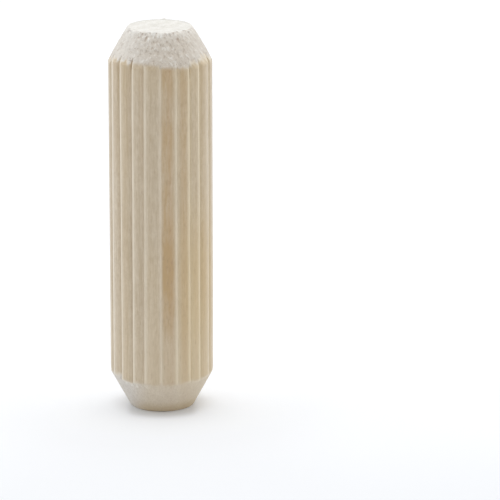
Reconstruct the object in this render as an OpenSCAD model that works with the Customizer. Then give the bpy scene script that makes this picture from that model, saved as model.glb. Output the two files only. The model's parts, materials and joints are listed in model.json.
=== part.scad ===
// Fluted wooden dowel pin with tapered ends, standing on its lower end.
// The origin is the middle of the lower end's flat, and +Z runs along the pin.

/* [Pin] */
// Diameter over the lands, which fill the drilled hole
pin_d = 8; // [6:0.5:16]
// Length over both ends
pin_len = 30; // [20:1:80]

/* [Tapered ends] */
// Diameter of the flat left on each end
end_d = 5; // [3:0.1:6]
// Length of the taper on each end
taper_len = 2.7; // [1.5:0.1:6]
// Length of the eased shoulder between a taper and the shank
ease_len = 0.8; // [0.3:0.1:1.2]
// Drop of the eased shoulder below the lands
ease_drop = 0.35; // [0.1:0.05:0.6]

/* [Flutes] */
// Number of flutes pressed round the shank
flute_count = 21; // [12:1:28]
// Depth of a flute below the lands
flute_depth = 0.22; // [0.1:0.02:0.36]
// Width of a flute between the edges of its two lands
flute_w = 0.6; // [0.4:0.05:0.8]
// Angle of the first flute, in degrees from +X
flute_start = -91.2; // [-180:0.1:180]

/* [Hidden] */
$fn = 96;
wood_color = [0.84, 0.77, 0.65];
// How far the fluted bar runs past the turned blank
overrun = 1;

// Radii of the shank, of the flats on the ends and of the lower edge of an eased shoulder
pin_r = pin_d / 2;
end_r = end_d / 2;
ease_r = pin_r - ease_drop;

// Angles from the middle of a land to the middle of a flute, and to the land's own edge
half_pitch = 180 / flute_count;
land_half = half_pitch - asin(flute_w / 2 / pin_r);

// Both shoulders of a land lie on one circle, through its edges and the roots of the flutes beside it
root_r = pin_r - flute_depth;
root_x = root_r * cos(half_pitch);
root_y = root_r * sin(half_pitch);
shoulder_x = (pow(pin_r, 2) - pow(root_r, 2)) / 2 / (pin_r * cos(land_half) - root_x);
shoulder_r = norm([root_x - shoulder_x, root_y]);

// Round bar turned to length, with both ends tapered to lead into the hole
module turned_blank() {
    rotate_extrude()
        polygon([
            [0, 0],
            [end_r, 0],
            [ease_r, taper_len - ease_len],
            [pin_r, taper_len],
            [pin_r, pin_len - taper_len],
            [ease_r, pin_len - taper_len + ease_len],
            [end_r, pin_len],
            [0, pin_len],
        ]);
}

// Section of the fluted bar: a ring of round-shouldered lands that meet at the flutes' roots
module fluted_section() {
    circle(r = shoulder_x);
    for (land = [0 : flute_count - 1])
        rotate(flute_start + (2 * land + 1) * half_pitch)
            translate([shoulder_x, 0])
                circle(r = shoulder_r);
}

// The pin is one piece: the turned blank, with the flutes running out on the tapers
module dowel_pin() {
    color(wood_color)
        intersection() {
            turned_blank();
            translate([0, 0, -overrun])
                linear_extrude(pin_len + 2 * overrun)
                    fluted_section();
        }
}

dowel_pin();
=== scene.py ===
import json
from types import SimpleNamespace

import bpy
import numpy as np
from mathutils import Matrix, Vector


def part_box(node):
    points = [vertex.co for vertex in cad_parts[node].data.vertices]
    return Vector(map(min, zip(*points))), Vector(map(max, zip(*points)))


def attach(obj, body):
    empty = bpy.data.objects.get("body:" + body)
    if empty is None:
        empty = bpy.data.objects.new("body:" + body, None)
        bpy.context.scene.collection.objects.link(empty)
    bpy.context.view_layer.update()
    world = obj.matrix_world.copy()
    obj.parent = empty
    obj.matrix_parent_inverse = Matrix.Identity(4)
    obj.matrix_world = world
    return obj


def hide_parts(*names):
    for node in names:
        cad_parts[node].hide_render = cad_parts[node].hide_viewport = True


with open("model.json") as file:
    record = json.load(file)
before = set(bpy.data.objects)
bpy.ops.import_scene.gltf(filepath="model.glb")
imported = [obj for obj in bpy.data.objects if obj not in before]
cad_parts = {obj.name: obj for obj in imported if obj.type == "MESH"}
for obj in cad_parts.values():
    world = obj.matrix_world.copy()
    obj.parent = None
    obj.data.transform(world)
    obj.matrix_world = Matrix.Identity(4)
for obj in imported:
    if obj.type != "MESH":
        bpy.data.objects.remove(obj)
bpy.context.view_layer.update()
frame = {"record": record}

# The dowel pin
# One piece of pale, dry hardwood. A rod is pushed through a die that presses the flutes into it,
# then sawn to length, and a cutter tapers both ends and tears the fibres there.
MM = 0.001
shank = next(m for m in frame["record"]["mounts"] if m["name"] == "shank")
pin_low, pin_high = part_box("dowel_pin")
pin_len = pin_high[2] - pin_low[2]
land_r = shank["dims"]["r_mm"] * MM
taper_len = (pin_len - shank["dims"]["length_mm"] * MM) / 2
shoulder = pin_len - taper_len

# The turned outline: sawn ends, tapers with an eased shoulder, and a shank that the cutter clears
end_r = 2.46 * MM
ease_len = 0.8 * MM
ease_drop = 0.35 * MM
foot_slim = 0.15 * MM
head_slim = 0.08 * MM
cutter_clear = 0.3 * MM
corner_ease = 0.06 * MM
outline_step = 0.01 * MM
rows_on_flat = 14
rows_on_taper = 84
rows_on_shank = 72
flat_crowding = 0.8
taper_rows_from = end_r - 0.25 * MM
taper_rows_to = end_r + 3.7 * MM


def eased_outline(points, spacing, ease):
    """The straight outline through the points, walked at an even spacing and averaged over a
    bell-shaped window, so that its corners turn over about twice the window's half width."""
    points = np.array(points)
    walked = np.r_[0, np.cumsum(np.linalg.norm(np.diff(points, axis=0), axis=1))]
    margin = 4 * ease
    window_half = 3 * ease
    place = np.arange(-margin, walked[-1] + margin, spacing)
    inside = np.clip(place, 0, walked[-1])
    line = np.stack([np.interp(inside, walked, points[:, k]) for k in (0, 1)], -1)
    line[:, 0] += np.minimum(place, 0) + np.minimum(walked[-1] - place, 0)
    window = np.exp(-0.5 * (np.arange(-window_half, window_half + spacing / 2, spacing) / ease) ** 2)
    window /= window.sum()
    soft = np.stack([np.convolve(line[:, k], window, "same") for k in (0, 1)], -1)
    kept = (place >= 0) & (place <= walked[-1])
    return place[kept], soft[kept]


def turned_rows():
    """Rows of the pin's grid, from the middle of the lower end, out and up along the turned outline,
    to the middle of the upper end, crowding on the tapers. Gives how far each row has come along the
    outline, its radius and height there, and the outline's whole length."""
    clear_run = cutter_clear * ease_len / ease_drop
    corners = [
        (0, 0),
        (end_r, 0),
        (land_r - ease_drop - foot_slim, taper_len - ease_len),
        (land_r + cutter_clear, taper_len + clear_run),
        (land_r + cutter_clear, shoulder - clear_run),
        (land_r - ease_drop - head_slim, shoulder + ease_len),
        (end_r, pin_len),
        (0, pin_len),
    ]
    walked, outline = eased_outline(corners, outline_step, corner_ease)
    total = walked[-1]
    on_flat = taper_rows_from * (np.arange(1, rows_on_flat + 1) / rows_on_flat) ** flat_crowding
    on_taper = np.linspace(taper_rows_from, taper_rows_to, rows_on_taper + 1)[1:]
    on_shank = np.linspace(taper_rows_to, total - taper_rows_to, rows_on_shank + 1)[1:-1]
    lower_end = np.r_[on_flat, on_taper]
    rows = np.r_[lower_end, on_shank, total - lower_end[::-1]]
    radius = np.interp(rows, walked, outline[:, 0])
    height = np.interp(rows, walked, outline[:, 1])
    return rows[:, None], radius[:, None], height[:, None], total


# The flutes, from the one that faces the camera round to the right: how far each strays from even
# steps, and how far it leans from its top to its foot, in degrees round to the right
flute_start = np.radians(-91.2)
flute_stray = np.radians([
    0.2, 3.6, 2.6, 0.2, 3.6, 1.8, -0.9, 1.1, 0.2, -1.0, 0.7,
    1.2, -0.6, -1.1, 0.4, 0.6, 0.6, -3.8, -1.2, 0.0, -2.3,
])
flute_lean = np.radians([
    -0.8, -0.6, 0.0, 0.0, 0.0, 0.4, -0.3, 0.5, 0.0, -0.4, 0.3,
    0.0, -0.5, 0.2, 0.4, 0.0, 0.0, -2.4, 0.0, -1.3, -2.3,
])
flute_count = len(flute_stray)
columns_per_land = 16


def pin_grid():
    """The grid that the pin is worked out on. Rows are the turned ones. Columns go round the pin and
    crowd into the flutes, by half a cosine wave across each land: place counts lands from the first
    flute, across is 0 on a land's crown and 1 in a flute, and angle runs between the two flutes."""
    rows, turned_r, height, total = turned_rows()
    up = height / pin_len
    crowd = (1 - np.cos(np.pi * np.arange(columns_per_land) / columns_per_land)) / 2
    place = (np.arange(flute_count)[:, None] + crowd).ravel()
    part = place % 1
    land_number = np.floor(place).astype(int)
    flute_number = np.round(place).astype(int)
    all_round = np.arange(flute_count + 1)
    even = flute_start + 2 * np.pi * all_round / flute_count
    flutes = even + flute_stray[all_round % flute_count]
    flutes = flutes + flute_lean[all_round % flute_count] * (0.5 - up)
    angle = flutes[:, land_number] * (1 - part) + flutes[:, land_number + 1] * part
    return SimpleNamespace(
        turned_r=turned_r,
        height=height,
        up=up,
        way=rows / total,
        upper=up > 0.5,
        from_rim=np.minimum(rows, total - rows) - end_r,
        below_rim=total - rows - end_r,
        place=place,
        across=np.abs(2 * part - 1)[None, :],
        land_number=land_number,
        flute_number=flute_number % flute_count,
        nearest_flute=flutes[:, flute_number],
        angle=angle,
        turn=angle / (2 * np.pi),
    )


def eased_step(value, low, high):
    """0 below low, 1 above high, and a cubic between them."""
    t = np.clip((value - low) / (high - low), 0, 1)
    return t * t * (3 - 2 * t)


def bell(distance, reach):
    """1 at no distance, and less on both sides by the bell curve that is 1/e at the reach."""
    return np.exp(-((distance / reach) ** 2))


def smooth_noise(around, along, seed, cells):
    """Values from -1 to 1 on a lattice of random numbers with that many cells round and along, eased
    between its points by a cubic. around and along run from 0 to 1, and the lattice closes on itself
    in the first direction."""
    just_inside = 0.999999
    lattice = np.random.default_rng(seed).uniform(-1, 1, (cells[0], cells[1] + 1))
    a = around * cells[0]
    b = np.clip(along, 0, 1) * cells[1] * just_inside
    i, j = np.floor(a).astype(int), np.floor(b).astype(int)
    u, v = eased_step(a - i, 0, 1), eased_step(b - j, 0, 1)
    i, i_next = i % cells[0], (i + 1) % cells[0]
    before = lattice[i, j] * (1 - u) + lattice[i_next, j] * u
    after = lattice[i, j + 1] * (1 - u) + lattice[i_next, j + 1] * u
    return before * (1 - v) + after * v


# The front of the pin, which faces the camera, in degrees round from its right side
front_degrees = -90.0


def spots(marks, grid, level, half_across, half_along):
    """Sum of bell-shaped spots at the marks, which give degrees round from the front and a level in
    millimetres, from the distances round and along the pin from each of them."""
    total = 0
    for degrees, millimetres in marks:
        turned = np.angle(np.exp(1j * (grid.angle - np.radians(degrees + front_degrees))))
        across = turned * grid.turned_r / half_across
        along = (level - millimetres * MM) / half_along
        total = total + np.exp(-(across**2) - along**2)
    return total


# The lands between the flutes, and how much deeper each flute gets at its upper end
land_fall = 0.11 * MM
land_uneven = 0.016 * MM
grain_uneven = 0.003 * MM
valley_depth = 0.06 * MM
valley_start_share = 0.7
valley_steepness = 1.5
valley_uneven_share = 0.3
valley_end_share = 0.7
valley_end_reach = 0.5 * MM
upper_run = MM * np.array([
    0.0, 0.0, 0.0, 0.16, 0.2, 0.1, 0.05, 0.1, 0.05, 0.0, 0.05,
    0.1, 0.05, 0.0, 0.05, 0.1, 0.12, 0.22, 0.2, 0.27, 0.0,
])
run_below = 0.15 * MM
run_above = 0.6 * MM


def fluted_lands(grid):
    """How far the lands' crowns lie below the full radius, and the radius of the fluted bar. A land
    falls from its crown by the square of the way across it, and by a steeper power close to a flute,
    where the valley's depth is uneven and grows at the upper end."""
    into = (grid.across - valley_start_share) / (1 - valley_start_share)
    valley = np.maximum(0, into) ** valley_steepness
    uneven = smooth_noise(grid.turn, grid.up, seed=11, cells=(flute_count, 9))
    depth = valley_depth * (1 + valley_uneven_share * uneven)
    from_shoulder = np.minimum(grid.height, pin_len - grid.height) - taper_len
    depth = depth * (1 + valley_end_share * bell(from_shoulder, valley_end_reach) * grid.upper)
    deepening = eased_step(grid.height, shoulder - run_below, shoulder + run_above)
    depth = depth + upper_run[grid.flute_number] * deepening
    crown = land_uneven * (1 + smooth_noise(grid.turn, grid.up, seed=12, cells=(11, 7))) / 2
    crown = crown + grain_uneven * (1 + smooth_noise(grid.turn, grid.up, seed=13, cells=(260, 14)))
    return crown, land_r - crown - land_fall * grid.across**2 - depth * valley


# The cut of the tapers: slanting fibres, lumps, and crumbs broken out under the upper rim
fibre_lift = 0.03 * MM
fibre_slants = (0.9, -0.6)
fibre_thin = 0.18
fibre_level = 0.5
lump_depth = 0.014 * MM
crumb_depth = 0.08 * MM
crumb_near = 0.2 * MM
crumb_reach = 0.55 * MM
rim_edge = 0.05 * MM
lower_rough_share = 0.4
# How far the cutter stood off on each land, so that the upper taper starts higher there
cutter_off = MM * np.array([
    0.03, 0.0, 0.0, 0.04, 0.04, 0.0, 0.0, 0.0, 0.0, 0.0, 0.0,
    0.0, 0.0, 0.0, 0.0, 0.0, 0.0, 0.15, 0.16, 0.07, 0.05,
])
off_start = 0.3 * MM
off_end = 1.3 * MM
# Marks under the upper rim: degrees round from the front and millimetres below the rim
rim_pits = [
    (-36.5, 0.5), (-22.6, 0.45), (-31.2, 0.22), (-6.2, 0.13), (23.5, 0.08), (29.1, 0.62), (-37.0, 2.4),
]
rim_tufts = [(-18.4, 0.58), (-13.9, 0.1), (-10.0, 0.25), (-3.4, 0.27), (1.2, 0.26), (13.0, 0.12)]
rim_stains = [(-30.0, 0.3), (12.0, 0.15)]
rim_splinters = [(173.0, 0.04)]
pit_across = 0.11 * MM
pit_along = 0.12 * MM
tuft_across = 0.07 * MM
tuft_along = 0.2 * MM
stain_across = 0.45 * MM
stain_along = 0.28 * MM
splinter_across = 0.16 * MM
splinter_lift = 0.38 * MM
mark_depth = 0.05 * MM
# Nap is how pale the torn fibre looks, from 0 in a pit to 1 on a tuft. In pits, crumbs and the fringe's
# gaps it is lowered as painted shade in the dents
nap_level = 0.5
nap_of_fibre = 0.3
nap_fibre_level = 0.4
nap_of_lump = 0.1
crumb_shade = -0.12
nap_of_pit = -0.45
nap_of_tuft = 0.95
nap_of_stain = -0.1
nap_of_back_rim = -0.3
back_reach = 0.12 * MM


def torn_cut(grid):
    """The radius that the cutter left, the nap of the torn fibre, with painted shade in its crumbs and
    pits, and the share of the upper end that faces away. Fibres are ridges where either of two slanted
    noises is near 0, and the turned radius is raised or lowered by them, by lumps and crumbs, by the
    marks and by the cutter's standing off."""
    turn, way, upper = grid.turn, grid.way, grid.upper
    veins = [smooth_noise(turn + slant * way, way, seed=21, cells=(130, 70)) for slant in fibre_slants]
    fibres = np.max([bell(vein, fibre_thin) for vein in veins], 0)
    lumps = smooth_noise(turn, way, seed=22, cells=(80, 140))
    crumbs = eased_step(smooth_noise(turn, way, seed=23, cells=(66, 160)), low=0.05, high=0.6)
    crumbs = crumbs * eased_step(grid.from_rim, -rim_edge, rim_edge)
    crumbs = crumbs * (1 - eased_step(grid.from_rim, crumb_near, crumb_reach)) * upper
    pits = spots(rim_pits, grid, grid.below_rim, pit_across, pit_along)
    tufts = spots(rim_tufts, grid, grid.below_rim, tuft_across, tuft_along)
    stains = spots(rim_stains, grid, grid.below_rim, stain_across, stain_along)
    splinters = spots(rim_splinters, grid, grid.below_rim, splinter_across, pit_along)
    crumbs = crumbs * (1 - np.minimum(1, tufts))

    rough = fibre_lift * (fibres - fibre_level) + lump_depth * lumps
    rough = rough * np.where(upper, 1.0, lower_rough_share) - crumb_depth * crumbs
    rough = rough + mark_depth * (tufts / 2 - pits) + splinter_lift * splinters
    cut = grid.turned_r + rough * np.minimum(1, grid.turned_r / end_r)
    crowns = np.arange(-1, flute_count + 1) + 0.5
    off = np.interp(grid.place, crowns, np.r_[cutter_off[-1], cutter_off, cutter_off[0]])
    cut = cut + off * (1 - eased_step(grid.height, shoulder + off_start, shoulder + off_end)) * upper

    nap = nap_level + nap_of_fibre * (fibres - nap_fibre_level)
    # Crumbs lower the nap: painted shade in their dents
    nap = nap + nap_of_lump * lumps + crumb_shade * crumbs
    far_side = eased_step(np.sin(grid.angle), low=0.1, high=0.6) * upper
    broken = eased_step(smooth_noise(turn, way, seed=24, cells=(34, 90)), low=-0.6, high=0.5)
    nap = nap + nap_of_back_rim * broken * far_side * bell(grid.from_rim, back_reach)
    # Pits lower it too, as painted shade in their dents, and so do the splinters, which are grey
    nap = nap + nap_of_pit * (pits + splinters) + nap_of_tuft * tufts + nap_of_stain * stains
    return cut, np.clip(nap, 0, 1), far_side


# The torn edge, where the cut meets the lands. A land's own colour reaches that far onto its tapers,
# in millimetres along them
upper_tear = MM * np.array([
    0.25, 0.24, 0.38, 0.68, 0.5, 0.35, 0.12, 0.4, 0.28, 0.1, 0.22,
    0.38, 0.3, 0.08, 0.2, 0.42, 0.5, 0.4, 0.42, 0.46, 0.45,
])
lower_tear = MM * np.array([
    0.3, 0.22, 0.27, 0.2, 0.12, 0.18, 0.25, 0.1, 0.22, 0.28, 0.15,
    0.2, 0.26, 0.12, 0.22, 0.16, 0.1, 0.0, 0.58, 0.34, 0.3,
])
edge_tear = 0.05 * MM
edge_tear_level = 0.3
edge_tear_power = 4
torn_softness = 0.03 * MM
ragged_depth = 0.02 * MM
foot_ragged = 0.035 * MM
groove_start = 0.02 * MM
groove_end = 0.08 * MM
# A fringe of teeth on the sides of the upper edge, with gaps that are sunk and painted dark as their
# shade, and white strokes
fringe_depth = 0.09 * MM
fringe_sharp = 3.0
stroke_reach = 0.13 * MM
stroke_white = 0.5
gap_depth = 0.05 * MM
nap_of_teeth = -0.3
gap_shade = -0.45
# Whiter torn places over the lower taper: degrees round from the front and millimetres above the table
foot_tufts = [
    (-58.0, 3.1), (-51.0, 2.5), (-46.0, 2.4), (-41.0, 2.3), (-31.0, 2.3), (-25.0, 2.32), (-17.0, 2.35),
]
foot_across = 0.34 * MM
foot_along = 0.22 * MM
foot_pull = 0.12 * MM
nap_of_foot_tuft = 0.22


def torn_edge(grid, crown, land, cut):
    """The share of torn fibre, the fringe's lowering of the surface, what the edge adds to the nap,
    and its white strokes. Torn is a soft step in how far the cut falls short of the land's crown,
    less the land's own tear, a ragged noise and the fringe's teeth. Flutes that the cut misses stay
    whole."""
    turn, up, upper = grid.turn, grid.up, grid.upper
    tear = np.where(upper, upper_tear[grid.land_number], lower_tear[grid.land_number])
    tear = tear * (ease_drop / ease_len)
    sides = eased_step(np.abs(np.cos(grid.angle)), low=0.45, high=0.7)
    teeth = np.tanh(fringe_sharp * smooth_noise(turn, up, seed=33, cells=(84, 20))) * sides
    ragged = ragged_depth * smooth_noise(turn, up, seed=31, cells=(190, 60))
    ragged = ragged + fringe_depth * teeth * upper
    ragged = ragged + foot_ragged * smooth_noise(turn, up, seed=34, cells=(63, 30)) * ~upper
    patches = np.minimum(1, spots(foot_tufts, grid, grid.height, foot_across, foot_along)) * ~upper
    short = land_r - crown - cut - tear - ragged
    short = short + edge_tear * (grid.across**edge_tear_power - edge_tear_level) + foot_pull * patches
    torn = 1 / (1 + np.exp(-short / torn_softness))
    torn = torn * (1 - eased_step(cut - land, groove_start, groove_end) * upper)
    fringe = bell(short, stroke_reach) * sides * upper
    gaps = eased_step(smooth_noise(turn, up, seed=35, cells=(105, 34)), low=0.1, high=0.6)
    lowered = gap_depth * gaps * fringe
    # The gaps lower the nap: painted shade between the teeth
    nap = nap_of_teeth * fringe * teeth + gap_shade * fringe * gaps + nap_of_foot_tuft * patches
    strokes = stroke_white * fringe * np.maximum(0, -teeth) * (1 - gaps)
    return torn, lowered, nap, strokes


# Painted highlights: whiter lines that stand in for the sheen on the flutes' flanks, and lie a little
# to one side of the flutes that face sideways
line_half = np.radians(1.7)
line_tail = 0.45
line_shift = np.radians(1.9)
line_turn = 2.4
line_front_share = 0.65
line_front_turn = 0.3
line_faint_share = 0.65
line_faint_turn = 0.55
line_uneven = 0.15
line_strength = np.array([
    1.15, 0.8, 0.76, 1.0, 1.3, 1.0, 0.9, 1.05, 0.85, 1.0, 1.1,
    0.95, 0.8, 1.05, 0.9, 1.0, 1.0, 1.1, 1.1, 0.95, 0.78,
])
line_spread = np.array([
    1.12, 1.25, 1.45, 1.15, 1.05, 1.0, 1.2, 0.95, 1.1, 1.0, 0.9,
    1.1, 1.2, 0.95, 1.2, 1.0, 1.0, 2.0, 1.0, 1.0, 1.25,
])


def sheen_lines(grid):
    """The share of painted sheen: a bell curve across each line, which is shifted by how far its flute
    faces sideways, has a longer tail on its outer side, and is thinner and fainter at the front."""
    facing = np.cos(grid.nearest_flute)
    aside = np.tanh(line_turn * facing)
    off_line = grid.angle - grid.nearest_flute + line_shift * aside
    tail = 1 + line_tail * np.maximum(0, -aside) * np.sign(off_line)
    front_gain = np.minimum(1, np.abs(facing) / line_front_turn)
    half = line_half * line_spread[grid.flute_number] * tail
    half = half * (line_front_share + (1 - line_front_share) * front_gain)
    faint_gain = np.minimum(1, np.abs(facing) / line_faint_turn)
    line = line_strength[grid.flute_number] * bell(off_line, half)
    line = line * (line_faint_share + (1 - line_faint_share) * faint_gain)
    uneven = smooth_noise(grid.turn, grid.up, seed=32, cells=(flute_count, 24))
    return line * (1 - line_uneven + line_uneven * uneven)


# The sawn ends: dents on the upper flat, and chips along the rim that faces the camera
sawn_edge = 0.12 * MM
dent_depth = 0.03 * MM
chip_depth = 0.07 * MM
chip_reach = 0.13 * MM


def sawn_ends(grid):
    """The share of sawn wood, which fades out over the rim, and how deep the dents and chips are, from
    two noises, of which the chips keep only what is above 0 and close to the rim."""
    sawn = eased_step(end_r - grid.turned_r, 0, sawn_edge)
    dents = dent_depth * (1 + smooth_noise(grid.turn, grid.way, seed=41, cells=(90, 150))) / 2
    chips = chip_depth * np.maximum(0, smooth_noise(grid.turn, grid.way, seed=52, cells=(70, 110)))
    near_side = eased_step(-np.sin(grid.angle), low=-0.6, high=0.2)
    chips = chips * bell(grid.from_rim, chip_reach) * near_side
    return sawn, np.where(grid.upper, dents * sawn + chips, 0)


# The crease between cut and land, and how far whiter fibre reaches down from the upper rim
crease_width = 0.012 * MM
rim_reach = 0.4 * MM


def soft_least(a, b, width):
    """The lesser of two lengths, with the crease between them eased over about that width."""
    return -width * np.logaddexp(-a / width, -b / width)


def pin_surface():
    """Angle, radius and height of the pin over its grid. A point's radius is the lesser of the
    cutter's and of the fluted bar's. Five shares go with the points: torn, sawn, line (painted sheen
    along the flutes, and white strokes of torn fibre), nap (of torn fibre, with painted shade in its
    pits, crumbs and gaps) and rim (nearness to the upper rim, by an exponential fall)."""
    grid = pin_grid()
    crown, land = fluted_lands(grid)
    cut, nap, far_side = torn_cut(grid)
    torn, lowered, edge_nap, strokes = torn_edge(grid, crown, land, cut)
    sawn, sunk = sawn_ends(grid)
    radius = np.minimum(soft_least(cut, land, crease_width) - lowered, land_r)
    rim = np.exp(-np.maximum(0, grid.from_rim) / rim_reach) * grid.upper * (1 - far_side)
    shares = {
        "torn": torn,
        "sawn": np.broadcast_to(sawn, radius.shape),
        "line": sheen_lines(grid) + strokes,
        "nap": nap + edge_nap,
        "rim": rim,
    }
    return grid.angle, radius, grid.height - sunk, shares


def pin_mesh():
    """The grid of pin_surface as one closed mesh, with a point in the middle of each end."""
    angle, radius, height, shares = pin_surface()
    rows, columns = radius.shape
    points = np.stack([radius * np.cos(angle), radius * np.sin(angle), height], -1).reshape(-1, 3)
    ends = np.array([[0, 0, height[0].mean()], [0, 0, height[-1].mean()]])
    grid = np.arange(rows * columns).reshape(rows, columns)
    beside = np.roll(grid, -1, axis=1)
    quads = np.stack([grid[:-1], beside[:-1], beside[1:], grid[1:]], -1).reshape(-1, 4)
    low, high = rows * columns, rows * columns + 1
    fan_low = np.stack([np.full(columns, low), beside[0], grid[0]], -1)
    fan_high = np.stack([np.full(columns, high), grid[-1], beside[-1]], -1)
    mesh = bpy.data.meshes.new("dowel_pin_wood")
    faces = quads.tolist() + fan_low.tolist() + fan_high.tolist()
    mesh.from_pydata(np.r_[points, ends].tolist(), [], faces)
    mesh.polygons.foreach_set("use_smooth", np.ones(len(mesh.polygons), bool))
    for name, share in shares.items():
        layer = mesh.attributes.new(name, "FLOAT", "POINT")
        middle = share[[0, -1], 0]
        layer.data.foreach_set("value", np.r_[share.ravel(), middle].astype(np.float32))
    mesh.update()
    return mesh


class Shade:
    """A socket of a node tree. Arithmetic on it adds Math nodes, and add() makes any other node."""

    def __init__(self, tree, socket):
        self.tree = tree
        self.socket = socket

    def add(self, kind, settings, inputs, output=0):
        """A new node of that type: its settings are set first, then its sockets get values or links."""
        node = self.tree.nodes.new(kind)
        for name, value in settings.items():
            setattr(node, name, value)
        for name, value in inputs.items():
            if isinstance(value, Shade):
                self.tree.links.new(value.socket, node.inputs[name])
            else:
                node.inputs[name].default_value = value
        return Shade(self.tree, node.outputs[output])

    def math(self, operation, *values):
        """A Math node of that operation on the values."""
        return self.add("ShaderNodeMath", {"operation": operation}, dict(enumerate(values)))

    def __add__(self, other):
        return self.math("ADD", self, other)

    def __radd__(self, other):
        return self.math("ADD", other, self)

    def __sub__(self, other):
        return self.math("SUBTRACT", self, other)

    def __rsub__(self, other):
        return self.math("SUBTRACT", other, self)

    def __mul__(self, other):
        return self.math("MULTIPLY", self, other)

    def __rmul__(self, other):
        return self.math("MULTIPLY", other, self)

    def __abs__(self):
        return self.math("ABSOLUTE", self)

    def between(self, low, high):
        """0 below low, 1 above high, and eased from one to the other between them."""
        return self.add(
            "ShaderNodeMapRange",
            {"interpolation_type": "SMOOTHSTEP"},
            {"Value": self, "From Min": low, "From Max": high},
        )

    def mix(self, first, second):
        """The first colour where this value is 0, and the second where it is 1."""
        return self.add(
            "ShaderNodeMix", {"data_type": "RGBA"}, {"Factor": self, 6: first, 7: second}, 2
        )


def noise(place, waves, offset, detail=2.0, rough=0.5):
    """Noise with that many waves for each millimetre along each axis."""
    where = place.add("ShaderNodeMapping", {}, {"Vector": place, "Scale": waves, "Location": offset})
    return place.add(
        "ShaderNodeTexNoise", {}, {"Vector": where, "Scale": 1.0, "Detail": detail, "Roughness": rough}
    )


def leaning(place, turn):
    """The place turned about the line of sight, so that noise on it leans by that angle."""
    return place.add(
        "ShaderNodeVectorRotate", {"rotation_type": "Y_AXIS"}, {"Vector": place, "Angle": turn}
    )


def near(value, middle, inner, outer):
    """1 within inner of the middle, 0 beyond outer of it, and eased between them."""
    return 1 - abs(value - middle).between(inner, outer)


def wood_places(tree):
    """What the finishes read: the place on the pin in millimetres (x to the right of its axis, y
    behind it, z above the table), the mesh's shares, and three noises drawn out along the grain."""
    start = Shade(tree, None)
    object_place = start.add("ShaderNodeTexCoord", {}, {}, "Object")
    place = start.add(
        "ShaderNodeVectorMath", {"operation": "SCALE"}, {0: object_place, "Scale": 1 / MM}
    )
    at = SimpleNamespace(place=place)
    for axis in "XYZ":
        setattr(at, axis.lower(), start.add("ShaderNodeSeparateXYZ", {}, {"Vector": place}, axis))
    for share in ("torn", "sawn", "line", "nap", "rim"):
        setattr(at, share, start.add("ShaderNodeAttribute", {"attribute_name": share}, {}, "Fac"))
    at.fibres = noise(place, waves=(10.0, 10.0, 0.2), offset=(0, 0, 0), detail=3.0, rough=0.6)
    at.flecks = noise(place, waves=(9.0, 9.0, 1.3), offset=(2, 8, 3), rough=0.6)
    at.streaks = noise(place, waves=(2.2, 2.2, 0.05), offset=(0, 0, 0))
    at.lower = 1 - at.z.between(3.0, 6.0)
    return at


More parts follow.
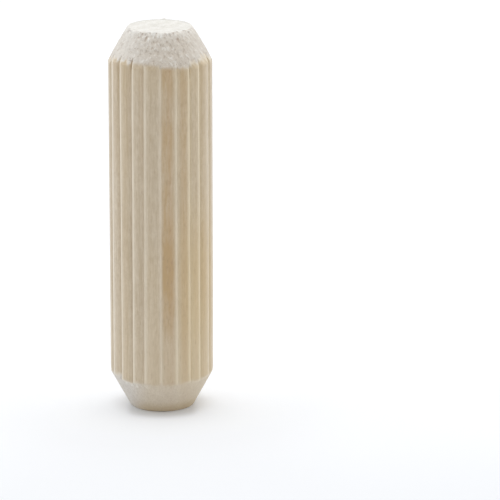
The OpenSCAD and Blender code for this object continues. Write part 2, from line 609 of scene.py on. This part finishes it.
def sound_wood(at):
    """Colour of the whole wood. The grain's noises, a mottle and ticks shade it from pale to dull. Tan
    on the right, a brown heart a little right of the middle and fainter streaks beside it, knots, a
    reddish thread, a paler tone low down that is painted bounce light, pores, and lines that are
    painted sheen along the flutes with white strokes of torn fibre, are mixed over that in turn."""
    pale = (0.69, 0.59, 0.45, 1)
    dull = (0.55, 0.445, 0.305, 1)
    brown = (0.52, 0.36, 0.185, 1)
    yellow = (0.66, 0.50, 0.265, 1)
    pore_dark = (0.39, 0.27, 0.155, 1)
    red_thread = (0.50, 0.31, 0.18, 1)
    bounce_pale = (0.70, 0.585, 0.42, 1)
    line_white = (0.93, 0.85, 0.70, 1)
    line_cream = (0.95, 0.85, 0.63, 1)
    place, x, y, z = at.place, at.x, at.y, at.z
    wander = 0.5
    back_fade = 0.55
    side = x + noise(place, waves=(0.2, 0.2, 0.02), offset=(3, 5, 1), detail=1.0) * wander - wander / 2
    front = 1 - back_fade * y.between(-2.5, 0.5)

    def streak(middle, half, share):
        """That share along a line up the front, that far to the right of the axis, and 0 beside it."""
        core_share = 0.2
        return near(side, middle, core_share * half, half) * front * share

    # The brown heart drifts right towards the top, is strongest at a third of the height, and wanes
    # at two places above that
    drift = 0.12 * z.between(14.0, 27.0)
    upper_fade = 0.52 * z.between(12.0, 17.0)
    swell = 0.81 * z.between(5.5, 9.5) * (1 - upper_fade)
    heart = streak(middle=0.48 + drift, half=0.76, share=0.34 + swell)
    top_wane = near(z, middle=24.8, inner=0.5, outer=2.0) * 0.3
    middle_wane = near(z, middle=18.8, inner=0.2, outer=1.0) * 0.25
    heart = heart * (1 - (top_wane + middle_wane))

    # Fainter brown streaks on the lands beside it, two of them stronger in a belt below the middle,
    # and three at the upper left
    belt = z.between(8.0, 10.0) * (1 - z.between(14.0, 16.0))
    heart = heart + streak(middle=1.75, half=0.5, share=0.5)
    heart = heart + streak(middle=3.25, half=0.45, share=0.16 + 0.2 * belt)
    heart = heart + streak(middle=2.5, half=0.4, share=0.12 * belt)
    upper_left = 0.14 * z.between(18.0, 21.0)
    for middle, half in ((-3.4, 0.45), (-2.45, 0.4), (-1.45, 0.25)):
        heart = heart + streak(middle, half, share=upper_left)
    cloudy = noise(place, waves=(4.0, 4.0, 0.5), offset=(1, 2, 8), detail=3.0, rough=0.6)
    heart = heart * (0.6 + 0.6 * cloudy.between(0.25, 0.7))

    # Tan over the right side, more so low down, on two streaks at the left and close to the top
    right_tan = 0.15 + 0.5 * (1 - z.between(11.0, 19.0))
    top_tan = 0.09 * z.between(24.5, 26.5)
    low_left = 0.13 * (1 - z.between(11.0, 15.0))
    tan = x.between(0.8, 1.8) * front * right_tan + top_tan * front
    tan = tan + streak(middle=-2.8, half=0.45, share=0.13)
    tan = tan + streak(middle=-0.7, half=0.9, share=low_left)

    mottle = noise(place, waves=(3.0, 3.0, 1.7), offset=(5, 2, 9)).between(0.35, 0.65) - 0.5
    ticks = noise(place, waves=(4.5, 4.5, 5.0), offset=(8, 3, 1), detail=1.0).between(0.35, 0.65) - 0.5
    ticked = noise(place, waves=(0.5, 0.5, 0.35), offset=(1, 6, 2), detail=1.0).between(0.42, 0.62)
    tick_share = 0.06 + 0.14 * ticked
    shade = 0.45 * at.fibres.between(0.3, 0.7) + 0.4 * at.flecks.between(0.3, 0.7)
    shade = shade + 0.3 * at.streaks.between(0.3, 0.7) + 0.2 * mottle + tick_share * ticks
    knots = noise(place, waves=(5.0, 5.0, 1.8), offset=(3, 7, 6), rough=0.6).between(0.5, 0.75)
    knot_share = 0.08 + 0.4 * heart
    thread = streak(middle=0.72, half=0.22, share=0.1 + 0.3 * knots)
    # Paler low down: painted bounce light
    foot_bounce_share = (0.25 + 0.12 * x.between(0.0, 1.0)) * (1 - z.between(3.5, 9.0))
    pores = noise(place, waves=(14.0, 14.0, 1.1), offset=(4, 9, 2), detail=1.0).between(0.64, 0.76)
    pore_share = 0.35
    line_share = (0.9 - 0.3 * tan) * (1 - at.torn)

    sound = shade.mix(pale, dull)
    sound = tan.mix(sound, yellow)
    sound = heart.mix(sound, brown)
    sound = (knots * knot_share).mix(sound, pore_dark)
    sound = thread.mix(sound, red_thread)
    sound = foot_bounce_share.mix(sound, bounce_pale)
    sound = (pores * pore_share).mix(sound, pore_dark)
    # The lines: painted sheen along the flutes, and white strokes of torn fibre at the fringe, in a
    # white that turns cream on the front right
    line_tone = (x.between(0.5, 2.2) * front).mix(line_white, line_cream)
    return (at.line * line_share).mix(sound, line_tone)


def torn_wood(at):
    """Colour and relief of the torn fibre. Two noises that lean opposite ways give white lint where
    either is high and dark hollows where either is low. It is whiter under the rim, follows the nap in
    pits and tufts, and is calmer on the lower taper, where its grain shows darker. Painted light from
    the sides makes its left and right paler, whitest at the left under the rim and cream at the lower
    left, and painted bounce light and contact shade make it browner close to the foot."""
    torn_dark = (0.47, 0.395, 0.315, 1)
    torn_plain = (0.66, 0.595, 0.51, 1)
    torn_white = (0.93, 0.905, 0.85, 1)
    torn_pit = (0.45, 0.355, 0.28, 1)
    torn_side_lit = (0.76, 0.73, 0.68, 1)
    torn_lit_cream = (0.80, 0.73, 0.62, 1)
    rim_white = (0.846, 0.832, 0.798, 1)
    bounce_brown = (0.50, 0.37, 0.19, 1)
    place, x, z, lower = at.place, at.x, at.z, at.lower
    lint_waves = (4.8, 4.8, 1.3)
    right_lint = noise(leaning(place, 0.55), lint_waves, offset=(2, 0, 5), rough=0.6)
    left_lint = noise(leaning(place, -0.35), lint_waves, offset=(6, 1, 0), rough=0.6)
    lint = place.math("MAXIMUM", right_lint, left_lint)
    hollow = place.math("MINIMUM", right_lint, left_lint)
    calm = (1 - 0.5 * lower) * (1 - 0.3 * abs(x).between(1.6, 2.8))
    # Painted light from the sides: paler on the left and a little on the right
    side_light_share = 0.6 * (1 - x.between(-2.8, 0.0)) + 0.3 * x.between(1.6, 3.2)
    hollow_share = 0.7 * calm * (1 - hollow.between(0.3, 0.42))
    lint_share = 0.55 * calm * lint.between(0.56, 0.72)
    rim_share = at.rim * (0.3 + 0.6 * lint.between(0.4, 0.6))
    # Painted light from the left: whitest at the left under the rim
    left_rim_light_share = 0.55 * at.rim * (1 - x.between(-2.4, -1.2))
    pit_share = 0.85 * (1 - at.nap.between(0.0, 0.45))
    tuft_share = 0.8 * at.nap.between(0.7, 0.95)
    # Painted light from the left: cream on the lower taper's left
    lower_left_light_share = 0.5 * lower * x.between(-2.8, -0.8)
    grain_share = 0.4 * lower * (at.fibres.between(0.3, 0.7) - 0.3)
    # Browner close to the foot on the middle and right: painted bounce light and contact shade
    foot_bounce_share = 0.7 * (1 - z.between(0.1, 1.1)) * x.between(-2.4, -1.0)

    fuzz = side_light_share.mix(torn_plain, torn_side_lit)
    fuzz = hollow_share.mix(fuzz, torn_dark)
    fuzz = lint_share.mix(fuzz, torn_white)
    fuzz = rim_share.mix(fuzz, torn_white)
    fuzz = left_rim_light_share.mix(fuzz, rim_white)
    fuzz = pit_share.mix(fuzz, torn_pit)
    fuzz = tuft_share.mix(fuzz, torn_white)
    fuzz = lower_left_light_share.mix(fuzz, torn_lit_cream)
    fuzz = grain_share.mix(fuzz, torn_dark)
    fuzz = foot_bounce_share.mix(fuzz, bounce_brown)
    relief_gain = 1.5
    return fuzz, (lint + hollow) * relief_gain * calm


def sawn_wood(at):
    """Colour of the sawn ends: cream to white by a cloudy noise and by growth rings, a sine of the
    distance from a pith outside the pin, then pores, and grey along the far rim and its splinter."""
    sawn_cream = (0.72, 0.70, 0.645, 1)
    sawn_white = (0.846, 0.832, 0.798, 1)
    sawn_pore = (0.60, 0.565, 0.50, 1)
    rim_grey = (0.60, 0.60, 0.56, 1)
    pith_x, pith_y = -8.0, 7.0
    ring_width = 1.2
    ring_bend = 4.0
    place, x, y = at.place, at.x, at.y
    from_pith = place.math("SQRT", (x - pith_x) * (x - pith_x) + (y - pith_y) * (y - pith_y))
    bent = ring_bend * noise(place, waves=(0.7, 0.7, 0.05), offset=(2, 4, 1))
    rings = 0.5 + 0.5 * place.math("SINE", from_pith * (2 * np.pi / ring_width) + bent)
    cloud = noise(place, waves=(2.6, 2.6, 2.6), offset=(7, 1, 4), detail=3.0, rough=0.6)
    pores = noise(place, waves=(8.0, 8.0, 0.6), offset=(1, 3, 5), detail=1.0).between(0.58, 0.7)
    pore_share = 0.4
    out = place.math("SQRT", x * x + y * y)
    splinter = near(x, middle=0.3, inner=0.05, outer=0.25) * out.between(2.0, 2.4)
    far_rim = (0.55 * out.between(1.9, 2.4) + 0.5 * splinter) * y.between(0.2, 1.2)
    end_grain = (0.65 * cloud.between(0.3, 0.7) + 0.35 * rings).mix(sawn_cream, sawn_white)
    end_grain = (pores * pore_share).mix(end_grain, sawn_pore)
    return far_rim.mix(end_grain, rim_grey)


def wood():
    """Pale wood: sound, torn and sawn wood, mixed by the mesh's shares of them, with a paler tone
    along the sides of the torn edge. Torn wood is rougher, and bump gives the finest relief."""
    torn_cream = (0.86, 0.79, 0.66, 1)
    edge_pale = (0.88, 0.85, 0.79, 1)
    bump_height = 0.04 * MM
    bump_strength = 0.6
    material = bpy.data.materials.new("pale_wood")
    material.use_nodes = True
    tree = material.node_tree
    bsdf = tree.nodes["Principled BSDF"]
    at = wood_places(tree)
    fuzz, fuzz_relief = torn_wood(at)
    torn_share = at.torn * (1 - 0.5 * at.lower * at.x.between(-2.6, -0.9))
    edge = 4 * at.torn * (1 - at.torn) * abs(at.x).between(1.2, 2.6)
    edge_share = edge * (0.5 - 0.15 * at.lower)
    edge_tone = at.x.between(-2.0, 1.0).mix(edge_pale, torn_cream)
    color = torn_share.mix(sound_wood(at), fuzz)
    color = edge_share.mix(color, edge_tone)
    color = at.sawn.mix(color, sawn_wood(at))
    grain_relief = 0.5 * at.fibres + 0.3 * at.flecks + 0.2 * at.streaks
    relief = grain_relief * (1 - at.torn) + fuzz_relief * at.torn
    bump = at.place.add(
        "ShaderNodeBump", {}, {"Height": relief, "Distance": bump_height, "Strength": bump_strength}
    )
    roughness = 0.33 + 0.25 * at.torn
    tree.links.new(color.socket, bsdf.inputs["Base Color"])
    tree.links.new(bump.socket, bsdf.inputs["Normal"])
    tree.links.new(roughness.socket, bsdf.inputs["Roughness"])
    bsdf.inputs["Specular IOR Level"].default_value = 0.5
    return material


pin = bpy.data.objects.new("dowel_pin_wood", pin_mesh())
bpy.context.scene.collection.objects.link(pin)
pin.data.materials.append(wood())
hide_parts("dowel_pin")
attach(pin, "root")

# The table
# A plain white sheet under the pin, wide enough to fill the view. It shows the camera a little more
# light than it gets, so that it reads as white away from the pin's own soft shadow.
table_half = 1.5
table_white = (0.844, 0.862, 0.89, 1)
table_rough = 0.9
table_lift = 0.135
front_lift = 0.068
far_drop = 0.03
back_gain = 0.3
table_mesh = bpy.data.meshes.new("white_table")
table_corners = np.array([(-1, -1, 0), (1, -1, 0), (1, 1, 0), (-1, 1, 0)]) * table_half
table_mesh.from_pydata(table_corners.tolist(), [], [(0, 1, 2, 3)])
table = bpy.data.objects.new("white_table", table_mesh)
bpy.context.scene.collection.objects.link(table)
paper = bpy.data.materials.new("white_paper")
paper.use_nodes = True
paper_bsdf = paper.node_tree.nodes["Principled BSDF"]
paper_bsdf.inputs["Base Color"].default_value = table_white
paper_bsdf.inputs["Roughness"].default_value = table_rough
paper_bsdf.inputs["Specular IOR Level"].default_value = 0.0
paper_bsdf.inputs["Emission Strength"].default_value = 1.0
paper_start = Shade(paper.node_tree, None)
seen = paper_start.add("ShaderNodeLightPath", {}, {}, "Is Camera Ray")
mirrored = paper_start.add("ShaderNodeLightPath", {}, {}, "Is Glossy Ray")
table_place = paper_start.add("ShaderNodeTexCoord", {}, {}, "Object")
table_x = paper_start.add("ShaderNodeSeparateXYZ", {}, {"Vector": table_place}, "X")
table_y = paper_start.add("ShaderNodeSeparateXYZ", {}, {"Vector": table_place}, "Y")
from_pin = paper_start.math("SQRT", table_x * table_x + table_y * table_y)
# Behind the pin the sheet glows in what the pin mirrors. In front and to the sides it is lifted less,
# and close to the front of the pin's foot not at all, which leaves the shadow there.
backlight = table_y.between(-10 * MM, 20 * MM) * back_gain
lift = table_y.between(-26 * MM, -3 * MM) * (table_lift - front_lift) + front_lift
far_front = from_pin.between(6 * MM, 12 * MM) * (1 - table_y.between(2 * MM, 12 * MM))
beside_foot = 1 - abs(table_x).between(2.2 * MM, 3 * MM)
before_foot = 1 - table_y.between(-1.5 * MM, 0.8 * MM)
near_foot = (1 - from_pin.between(3 * MM, 4.8 * MM)) * before_foot * beside_foot
lift = (lift - far_drop * far_front) * (1 - near_foot)
table_glow = (seen * lift + mirrored * backlight).mix((0, 0, 0, 1), (1, 1, 1, 1))
paper.node_tree.links.new(table_glow.socket, paper_bsdf.inputs["Emission Color"])
table_mesh.materials.append(paper)

# The light
# A white tent: an even glow all round, a soft lamp on each side of the pin and a little behind it,
# and one overhead. What the camera sees of the tent is plain white.
tent_level = 0.68
back_level = 1.15
front_level = 0.5
world = bpy.data.worlds.new("white_tent")
world.use_nodes = True
bpy.context.scene.world = world
glow = world.node_tree.nodes["Background"]
glow.inputs["Color"].default_value = (1, 1, 1, 1)
world_start = Shade(world.node_tree, None)
camera_ray = world_start.add("ShaderNodeLightPath", {}, {}, "Is Camera Ray")
glossy_ray = world_start.add("ShaderNodeLightPath", {}, {}, "Is Glossy Ray")
toward = world_start.add("ShaderNodeTexCoord", {}, {}, "Generated")
toward_back = world_start.add("ShaderNodeSeparateXYZ", {}, {"Vector": toward}, "Y").between(-0.3, 0.3)
backdrop = toward_back * (back_level - front_level) + front_level
tent = camera_ray + glossy_ray * backdrop + (1 - camera_ray - glossy_ray) * tent_level
world.node_tree.links.new(tent.socket, glow.inputs["Strength"])
# Each lamp's place, size and power
lamps = {
    "left_lamp": ((-0.34, 0.10, 0.16), 0.30, 0.20),
    "right_lamp": ((0.34, 0.12, 0.16), 0.30, 0.20),
    "top_lamp": ((0.0, 0.10, 0.44), 0.35, 0.8),
}
pin_middle = Vector((0, 0, pin_len / 2))
for name, (spot, size, power) in lamps.items():
    light = bpy.data.lights.new(name, "AREA")
    light.size = size
    light.energy = power
    lamp = bpy.data.objects.new(name, light)
    lamp.location = spot
    lamp.rotation_euler = (pin_middle - Vector(spot)).to_track_quat("-Z", "Y").to_euler()
    bpy.context.scene.collection.objects.link(lamp)

# The camera
# A long lens a little above the pin, turned so that the pin stands left of the middle.
camera_spot = (0, -0.29771, 0.09453)
camera_aim = Vector((0.02217, 0.96364, -0.26629))
lens = bpy.data.cameras.new("camera")
lens.sensor_width = 36.0
lens.lens = 288.0
camera = bpy.data.objects.new("camera", lens)
camera.location = camera_spot
camera.rotation_euler = camera_aim.to_track_quat("-Z", "Y").to_euler()
bpy.context.scene.collection.objects.link(camera)
bpy.context.scene.camera = camera
bpy.context.scene.view_settings.view_transform = "Standard"
